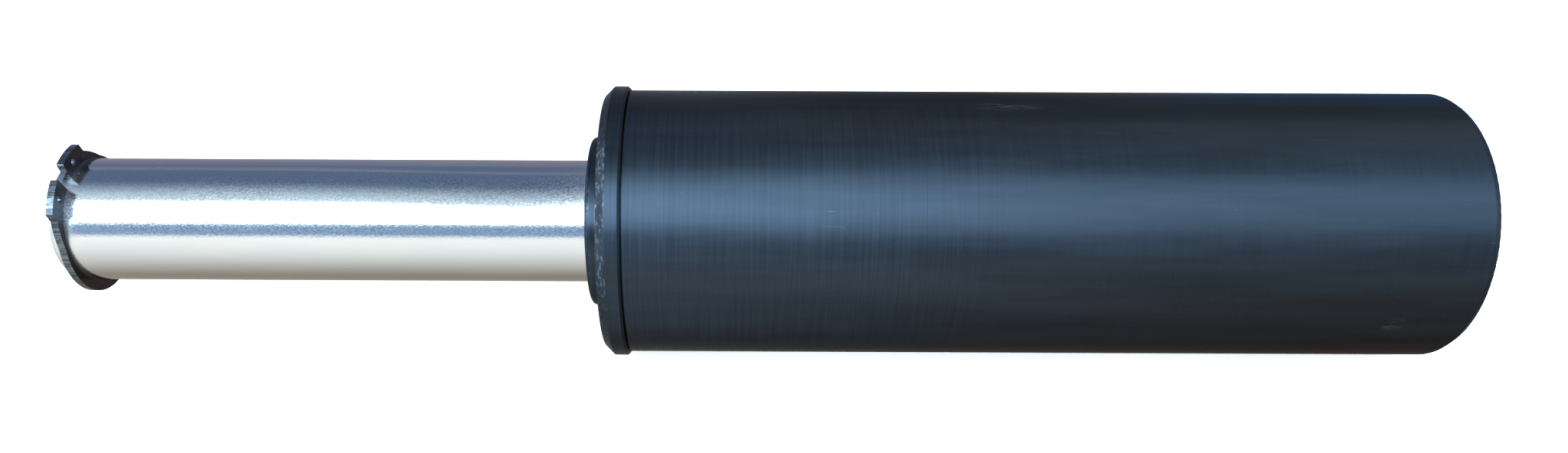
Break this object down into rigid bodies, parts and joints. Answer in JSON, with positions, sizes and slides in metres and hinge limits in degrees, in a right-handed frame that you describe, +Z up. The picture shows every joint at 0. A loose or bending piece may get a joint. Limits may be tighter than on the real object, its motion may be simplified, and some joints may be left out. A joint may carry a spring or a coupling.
{
  "type": "telescopic hydraulic cylinder",
  "caption": "Single-acting telescopic hydraulic cylinder: black barrel with a bevelled gland, nested chromed stages and a plunger that ends in a circlip.",
  "frame": {"origin": "centre of the base's rear face, on the cylinder's axis", "axes": "X along the cylinder's axis, with the stages extending towards -X and the base facing +X; +Z up with the cylinder lying on its side"},
  "size_m": [0.4992, 0.0992, 0.0992],
  "materials": {
    "black_paint": "satin",
    "chrome_plate": "polished",
    "turned_steel": "satin",
    "black_oxide": "satin",
    "black_phosphate": "satin",
    "polyurethane": "satin",
    "nitrile_rubber": "matte",
    "white_ptfe": "satin",
    "bearing_strip": "matte"
  },
  "bodies": {
    "barrel": {"barrel_tube": "black_paint", "base_plug": "black_paint", "base_o_ring": "nitrile_rubber", "head_gland": "black_paint", "gland_wiper": "polyurethane", "gland_seal": "polyurethane", "gland_backup_ring": "white_ptfe", "gland_guide_ring": "bearing_strip", "gland_o_ring": "nitrile_rubber"},
    "stage_1_band": {"stage_1_wear_band": "bearing_strip"},
    "stage_1": {"stage_1_tube": "chrome_plate", "stage_1_head": "black_oxide", "stage_1_wiper": "polyurethane", "stage_1_seal": "polyurethane", "stage_1_backup_ring": "white_ptfe", "stage_1_guide_ring": "bearing_strip", "stage_1_o_ring": "nitrile_rubber", "stage_1_stop_collar": "turned_steel", "stage_1_retaining_ring": "turned_steel"},
    "stage_2_band": {"stage_2_wear_band": "bearing_strip"},
    "stage_2": {"stage_2_tube": "chrome_plate", "stage_2_head": "black_oxide", "stage_2_wiper": "polyurethane", "stage_2_seal": "polyurethane", "stage_2_backup_ring": "white_ptfe", "stage_2_guide_ring": "bearing_strip", "stage_2_o_ring": "nitrile_rubber", "stage_2_stop_collar": "turned_steel", "stage_2_retaining_ring": "turned_steel"},
    "plunger_band": {"plunger_wear_band": "bearing_strip"},
    "plunger": {"plunger_tube": "chrome_plate", "plunger_end_plug": "turned_steel", "end_circlip": "black_phosphate", "plunger_stop_collar": "turned_steel", "plunger_retaining_ring": "turned_steel"}
  },
  "joints": [
    {"name": "stage_1_slide", "type": "slide", "parent": "barrel", "child": "stage_1_band", "axis": [-1, 0, 0], "range_m": [0, 0.216]},
    {"name": "stage_1_turn", "type": "hinge", "parent": "stage_1_band", "child": "stage_1", "pos_m": [0, 0, 0], "axis": [-1, 0, 0], "continuous": true},
    {"name": "stage_2_slide", "type": "slide", "parent": "stage_1", "child": "stage_2_band", "axis": [-1, 0, 0], "range_m": [0, 0.2195]},
    {"name": "stage_2_turn", "type": "hinge", "parent": "stage_2_band", "child": "stage_2", "pos_m": [0, 0, 0], "axis": [-1, 0, 0], "continuous": true},
    {"name": "plunger_slide", "type": "slide", "parent": "stage_2", "child": "plunger_band", "axis": [-1, 0, 0], "range_m": [-0.149, 0.0665]},
    {"name": "plunger_turn", "type": "hinge", "parent": "plunger_band", "child": "plunger", "pos_m": [0, 0, 0], "axis": [-1, 0, 0], "continuous": true}
  ]
}
